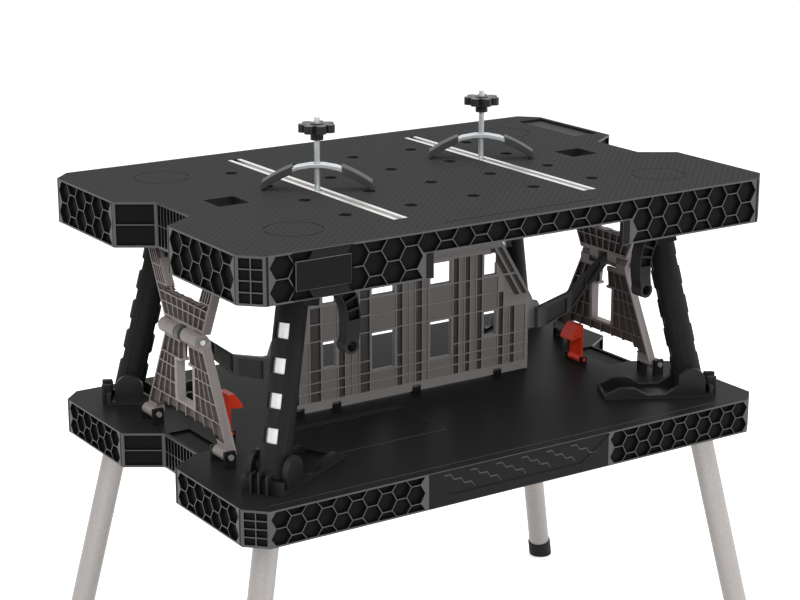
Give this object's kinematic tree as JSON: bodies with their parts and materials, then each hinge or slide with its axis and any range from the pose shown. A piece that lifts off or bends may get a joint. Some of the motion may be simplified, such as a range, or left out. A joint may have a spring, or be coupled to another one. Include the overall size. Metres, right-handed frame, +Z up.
{
  "type": "folding workbench",
  "caption": "Folding workbench with a perforated plastic worktop, slotted clamp tracks, hourglass side panels, a lower shelf and splayed folding legs",
  "frame": {"origin": "on the floor under the middle of the bench", "axes": "X along the worktop, Y from the front (label side, -Y) to the rear, Z up"},
  "size_m": [0.9342, 0.571, 0.872],
  "materials": {
    "black_plastic": "moulded black plastic, fine texture",
    "panel_plastic": "ribbed brown-grey plastic",
    "aluminium": "drawn aluminium",
    "zinc_steel": "zinc-plated steel",
    "grey_rubber": "dark grey rubber",
    "black_rubber": "black rubber",
    "knob_plastic": "black knob plastic",
    "latch_plastic": "orange-red plastic",
    "label_plastic": "bare smooth plate"
  },
  "bodies": {
    "shelf": {"shelf": "black_plastic", "centre_rod": "zinc_steel", "front_left_base": "black_plastic", "front_right_base": "black_plastic", "rear_left_base": "black_plastic", "rear_right_base": "black_plastic"},
    "tabletop": {"tabletop": "black_plastic", "left_track": "aluminium", "right_track": "aluminium", "label_plate": "label_plastic"},
    "left_lower_panel": {"left_lower_panel": "panel_plastic", "left_waist_pin": "zinc_steel"},
    "left_upper_panel": {"left_upper_panel": "panel_plastic"},
    "left_lock_strut": {"left_lock_strut": "panel_plastic"},
    "left_latch": {"left_latch": "latch_plastic"},
    "left_clamp_bolt": {"left_clamp_bolt": "zinc_steel"},
    "left_clamp_arm": {"left_clamp_arm": "zinc_steel", "left_clamp_left_tip": "grey_rubber", "left_clamp_right_tip": "grey_rubber"},
    "left_clamp_knob": {"left_clamp_knob": "knob_plastic"},
    "right_lower_panel": {"right_lower_panel": "panel_plastic", "right_waist_pin": "zinc_steel"},
    "right_upper_panel": {"right_upper_panel": "panel_plastic"},
    "right_lock_strut": {"right_lock_strut": "panel_plastic"},
    "right_latch": {"right_latch": "latch_plastic"},
    "right_clamp_bolt": {"right_clamp_bolt": "zinc_steel"},
    "right_clamp_arm": {"right_clamp_arm": "zinc_steel", "right_clamp_left_tip": "grey_rubber", "right_clamp_right_tip": "grey_rubber"},
    "right_clamp_knob": {"right_clamp_knob": "knob_plastic"},
    "centre_panel": {"centre_panel": "panel_plastic"},
    "front_left_sleeve": {"front_left_sleeve": "black_plastic", "front_left_core": "aluminium"},
    "front_left_hook": {"front_left_hook": "black_plastic"},
    "front_left_leg": {"front_left_leg_collar": "black_plastic", "front_left_leg_tube": "aluminium", "front_left_foot": "black_rubber"},
    "front_right_sleeve": {"front_right_sleeve": "black_plastic", "front_right_core": "aluminium"},
    "front_right_hook": {"front_right_hook": "black_plastic"},
    "front_right_leg": {"front_right_leg_collar": "black_plastic", "front_right_leg_tube": "aluminium", "front_right_foot": "black_rubber"},
    "rear_left_sleeve": {"rear_left_sleeve": "black_plastic", "rear_left_core": "aluminium"},
    "rear_left_hook": {"rear_left_hook": "black_plastic"},
    "rear_left_leg": {"rear_left_leg_collar": "black_plastic", "rear_left_leg_tube": "aluminium", "rear_left_foot": "black_rubber"},
    "rear_right_sleeve": {"rear_right_sleeve": "black_plastic", "rear_right_core": "aluminium"},
    "rear_right_hook": {"rear_right_hook": "black_plastic"},
    "rear_right_leg": {"rear_right_leg_collar": "black_plastic", "rear_right_leg_tube": "aluminium", "rear_right_foot": "black_rubber"}
  },
  "joints": [
    {"name": "fold", "type": "hinge", "parent": "shelf", "child": "left_lower_panel", "pos_m": [-0.366, 0, 0.461], "axis": [0, 1, 0], "range_deg": [0, 86.6]},
    {"name": "left_waist", "type": "hinge", "parent": "left_lower_panel", "child": "left_upper_panel", "pos_m": [-0.366, 0, 0.6], "axis": [0, 1, 0], "range_deg": [-173.2, 0]},
    {"name": "left_head", "type": "hinge", "parent": "left_upper_panel", "child": "tabletop", "pos_m": [-0.366, 0, 0.739], "axis": [0, 1, 0], "range_deg": [0, 86.6]},
    {"name": "right_foot", "type": "hinge", "parent": "shelf", "child": "right_lower_panel", "pos_m": [0.366, 0, 0.461], "axis": [0, 1, 0], "range_deg": [-86.6, 0]},
    {"name": "right_waist", "type": "hinge", "parent": "right_lower_panel", "child": "right_upper_panel", "pos_m": [0.366, 0, 0.6], "axis": [0, 1, 0], "range_deg": [0, 173.2]},
    {"name": "centre_fold", "type": "hinge", "parent": "shelf", "child": "centre_panel", "pos_m": [0, 0.011, 0.4492], "axis": [-1, 0, 0], "range_deg": [0, 90]},
    {"name": "left_strut_fold", "type": "hinge", "parent": "left_lower_panel", "child": "left_lock_strut", "pos_m": [-0.366, 0, 0.6], "axis": [0, 1, 0], "range_deg": [-121.24, 0]},
    {"name": "right_strut_fold", "type": "hinge", "parent": "right_lower_panel", "child": "right_lock_strut", "pos_m": [0.366, 0, 0.6], "axis": [0, 1, 0], "range_deg": [0, 121.24]},
    {"name": "front_left_sleeve_fold", "type": "hinge", "parent": "shelf", "child": "front_left_sleeve", "pos_m": [-0.348, -0.209, 0.47], "axis": [-0.4802, 0.8771, 0], "range_deg": [0, 74.4]},
    {"name": "front_left_hook_fold", "type": "hinge", "parent": "tabletop", "child": "front_left_hook", "pos_m": [-0.288, -0.222, 0.723], "axis": [0, -1, 0], "range_deg": [0, 70]},
    {"name": "front_left_leg_fold", "type": "hinge", "parent": "shelf", "child": "front_left_leg", "pos_m": [-0.35925, -0.21516, 0.417], "axis": [0.0257, -0.9997, 0], "range_deg": [0, 102.14]},
    {"name": "front_right_sleeve_fold", "type": "hinge", "parent": "shelf", "child": "front_right_sleeve", "pos_m": [0.348, -0.209, 0.47], "axis": [-0.4802, -0.8771, 0], "range_deg": [0, 74.4]},
    {"name": "front_right_hook_fold", "type": "hinge", "parent": "tabletop", "child": "front_right_hook", "pos_m": [0.288, -0.222, 0.723], "axis": [0, 1, 0], "range_deg": [0, 70]},
    {"name": "front_right_leg_fold", "type": "hinge", "parent": "shelf", "child": "front_right_leg", "pos_m": [0.35925, -0.21516, 0.417], "axis": [0.143, 0.9897, 0], "range_deg": [0, 102.77]},
    {"name": "rear_left_sleeve_fold", "type": "hinge", "parent": "shelf", "child": "rear_left_sleeve", "pos_m": [-0.348, 0.209, 0.47], "axis": [0.4802, 0.8771, 0], "range_deg": [0, 74.4]},
    {"name": "rear_left_hook_fold", "type": "hinge", "parent": "tabletop", "child": "rear_left_hook", "pos_m": [-0.288, 0.222, 0.723], "axis": [0, -1, 0], "range_deg": [0, 70]},
    {"name": "rear_left_leg_fold", "type": "hinge", "parent": "shelf", "child": "rear_left_leg", "pos_m": [-0.35925, 0.21516, 0.417], "axis": [-0.0257, -0.9997, 0], "range_deg": [0, 102.14]},
    {"name": "rear_right_sleeve_fold", "type": "hinge", "parent": "shelf", "child": "rear_right_sleeve", "pos_m": [0.348, 0.209, 0.47], "axis": [0.4802, -0.8771, 0], "range_deg": [0, 74.4]},
    {"name": "rear_right_hook_fold", "type": "hinge", "parent": "tabletop", "child": "rear_right_hook", "pos_m": [0.288, 0.222, 0.723], "axis": [0, 1, 0], "range_deg": [0, 70]},
    {"name": "rear_right_leg_fold", "type": "hinge", "parent": "shelf", "child": "rear_right_leg", "pos_m": [0.35925, 0.21516, 0.417], "axis": [-0.143, 0.9897, 0], "range_deg": [0, 102.77]},
    {"name": "left_latch_flex", "type": "hinge", "parent": "shelf", "child": "left_latch", "pos_m": [-0.306, 0, 0.451], "axis": [0, -1, 0], "range_deg": [0, 6], "stiffness_Nm_per_rad": 6},
    {"name": "left_clamp_slide", "type": "slide", "parent": "tabletop", "child": "left_clamp_bolt", "axis": [0, 1, 0], "range_m": [-0.198, 0.226]},
    {"name": "left_clamp_swivel", "type": "hinge", "parent": "left_clamp_bolt", "child": "left_clamp_arm", "pos_m": [-0.155, -0.002, 0.792], "axis": [0, 0, 1], "continuous": true},
    {"name": "left_clamp_turn", "type": "hinge", "parent": "left_clamp_bolt", "child": "left_clamp_knob", "pos_m": [-0.155, -0.002, 0.852], "axis": [0, 0, 1], "continuous": true},
    {"name": "right_latch_flex", "type": "hinge", "parent": "shelf", "child": "right_latch", "pos_m": [0.306, 0, 0.451], "axis": [0, 1, 0], "range_deg": [0, 6], "stiffness_Nm_per_rad": 6},
    {"name": "right_clamp_slide", "type": "slide", "parent": "tabletop", "child": "right_clamp_bolt", "axis": [0, 1, 0], "range_m": [-0.246, 0.178]},
    {"name": "right_clamp_swivel", "type": "hinge", "parent": "right_clamp_bolt", "child": "right_clamp_arm", "pos_m": [0.155, 0.046, 0.792], "axis": [0, 0, 1], "continuous": true},
    {"name": "right_clamp_turn", "type": "hinge", "parent": "right_clamp_bolt", "child": "right_clamp_knob", "pos_m": [0.155, 0.046, 0.852], "axis": [0, 0, 1], "continuous": true}
  ],
  "couplings": [
    {"joint": "left_waist", "follows": "fold", "ratio": -2},
    {"joint": "left_head", "follows": "fold", "ratio": 1},
    {"joint": "right_foot", "follows": "fold", "ratio": -1},
    {"joint": "right_waist", "follows": "fold", "ratio": 2},
    {"joint": "centre_fold", "follows": "fold", "ratio": 1.0393},
    {"joint": "left_strut_fold", "follows": "fold", "ratio": -1.4},
    {"joint": "right_strut_fold", "follows": "fold", "ratio": 1.4},
    {"joint": "front_left_sleeve_fold", "follows": "fold", "ratio": 0.85912},
    {"joint": "front_left_hook_fold", "follows": "fold", "ratio": 0.8},
    {"joint": "front_right_sleeve_fold", "follows": "fold", "ratio": 0.85912},
    {"joint": "front_right_hook_fold", "follows": "fold", "ratio": 0.8},
    {"joint": "rear_left_sleeve_fold", "follows": "fold", "ratio": 0.85912},
    {"joint": "rear_left_hook_fold", "follows": "fold", "ratio": 0.8},
    {"joint": "rear_right_sleeve_fold", "follows": "fold", "ratio": 0.85912},
    {"joint": "rear_right_hook_fold", "follows": "fold", "ratio": 0.8}
  ]
}
